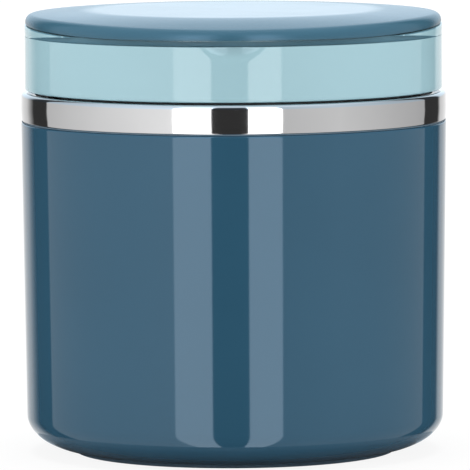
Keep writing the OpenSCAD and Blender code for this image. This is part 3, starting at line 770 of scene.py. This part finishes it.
def make_floor():
    """Matt floor that mostly shows plain white where a camera or glossy ray meets it."""
    bm = bmesh.new()
    bmesh.ops.create_grid(bm, x_segments=8, y_segments=8, size=6)
    floor = new_object("floor", to_mesh("floor", bm))
    m, nodes, links = bare_material("floor")
    matt, glow = nodes.new("ShaderNodeBsdfDiffuse"), nodes.new("ShaderNodeEmission")
    mix = nodes.new("ShaderNodeMixShader")
    matt.inputs["Color"].default_value = (FLOOR_GREY, FLOOR_GREY, FLOOR_GREY, 1)
    glow.inputs["Strength"].default_value = 1.0
    share = nodes.new("ShaderNodeMapRange")
    share.inputs["To Max"].default_value = FLOOR_WHITE
    links.new(light_path_white(nodes, links), share.inputs["Value"])
    links.new(share.outputs["Result"], mix.inputs["Fac"])
    links.new(matt.outputs["BSDF"], mix.inputs[1])
    links.new(glow.outputs["Emission"], mix.inputs[2])
    links.new(mix.outputs["Shader"], nodes["Material Output"].inputs["Surface"])
    floor.data.materials.append(m)
    floor.visible_glossy = False


# What the glossy surfaces show round the jar, as corners (angle from the front, brightness):
# the backdrop, a pale panel on either side, and two bright strips in front. The rest is dark.
DARK, STRIP = 0.045, 3.2
PANELS = [
    (-180, 1.15), (-149, 0.78), (-137, DARK),                      # backdrop, left half
    (-120, DARK), (-119, 0.70), (-32.6, 1.20),                     # left panel
    (-32, STRIP), (-12.2, STRIP), (-11.6, DARK),                   # left strip
    (7.4, DARK), (8, STRIP), (25.3, STRIP),                        # right strip
    (25.9, 0.74), (58, 0.85), (124, 0.56), (124.8, DARK),          # right panel
    (144, DARK), (149, 0.78), (180, 1.15)]                         # backdrop, right half


def panel(azimuth):
    """Brightness of the panels at an angle from the front."""
    for (a, v), (b, w) in zip(PANELS, PANELS[1:]):
        if azimuth <= b:
            return v + (w - v) * (azimuth - a) / (b - a)
    return PANELS[-1][1]


def glossy_only(obj):
    obj.visible_camera = obj.visible_diffuse = False
    obj.visible_shadow = obj.visible_transmission = False


def make_dome():
    """Dome all round the jar, seen by glossy rays only, with the panels painted on its corners."""
    bm = bmesh.new()
    level = bm.loops.layers.float_color.new("level")
    bottom, horizon, top = -70, 8, 35      # elevations: the panels' ends, and where COOL begins
    rows = [-90, -80, bottom, 0, horizon, top, 60, 90]

    def at(azimuth, elevation):
        a, e = math.radians(azimuth), math.radians(elevation)
        return Vector((math.sin(a) * math.cos(e), -math.cos(a) * math.cos(e), math.sin(e))) * DOME_R

    def tone(azimuth, e):
        v = panel(azimuth) if bottom <= e <= top else (1.0 if e > top else 0.03)
        if e < horizon:
            return (v, v, v, 1)
        lift = 1.15 if e == horizon and abs(azimuth) > 140 else 1.0
        return tuple(v * lift * c for c in COOL) + (1,)

    for (start, _), (end, _) in zip(PANELS, PANELS[1:]):
        steps = max(1, round((end - start) / 3))
        sides = [start + (end - start) * k / steps for k in range(steps + 1)]
        for a, b in zip(sides, sides[1:]):
            for low, high in zip(rows, rows[1:]):
                corners = ((a, low), (b, low), (b, high), (a, high))
                face = bm.faces.new([bm.verts.new(at(*p)) for p in corners])
                for loop, (azimuth, e) in zip(face.loops, corners):
                    loop[level] = tone(azimuth, e)

    dome = new_object("dome", to_mesh("dome", bm, smooth=False))
    m, nodes, links = bare_material("dome")
    glow, colour = nodes.new("ShaderNodeEmission"), nodes.new("ShaderNodeVertexColor")
    colour.layer_name = "level"
    links.new(colour.outputs["Color"], glow.inputs["Color"])
    links.new(glow.outputs["Emission"], nodes["Material Output"].inputs["Surface"])
    dome.data.materials.append(m)
    glossy_only(dome)
    dome.location = (0, 0, DOME_Z)


def make_plinth():
    """Dark polished plate under the jar, seen by glossy rays only: it mirrors the panels."""
    bm = bmesh.new()
    bmesh.ops.create_circle(bm, cap_ends=True, segments=128, radius=PLINTH_R * MM)
    plinth = new_object("plinth", to_mesh("plinth", bm, smooth=False))
    plinth.location.z = PLINTH_Z * MM
    dark = material("plinth", (0.36, 0.36, 0.36, 1), 0.1, tint=0.1, rough_spread=0.02)
    plinth.data.materials.append(dark)
    glossy_only(plinth)


make_camera()
make_world()
make_floor()
make_dome()
make_plinth()
overhead((0, 0.05, 1), irradiance=2.3, width=31)
# Four equal soft boxes, one on each side
for side in range(4):
    a = math.radians(90 * side)
    area("box_%d" % side, (2 * math.sin(a), -2 * math.cos(a), 0.5), (0, 0, 0.04),
         size=1.2, size_y=0.9, radiance=3.0)
bpy.context.scene.view_settings.view_transform = "Standard"
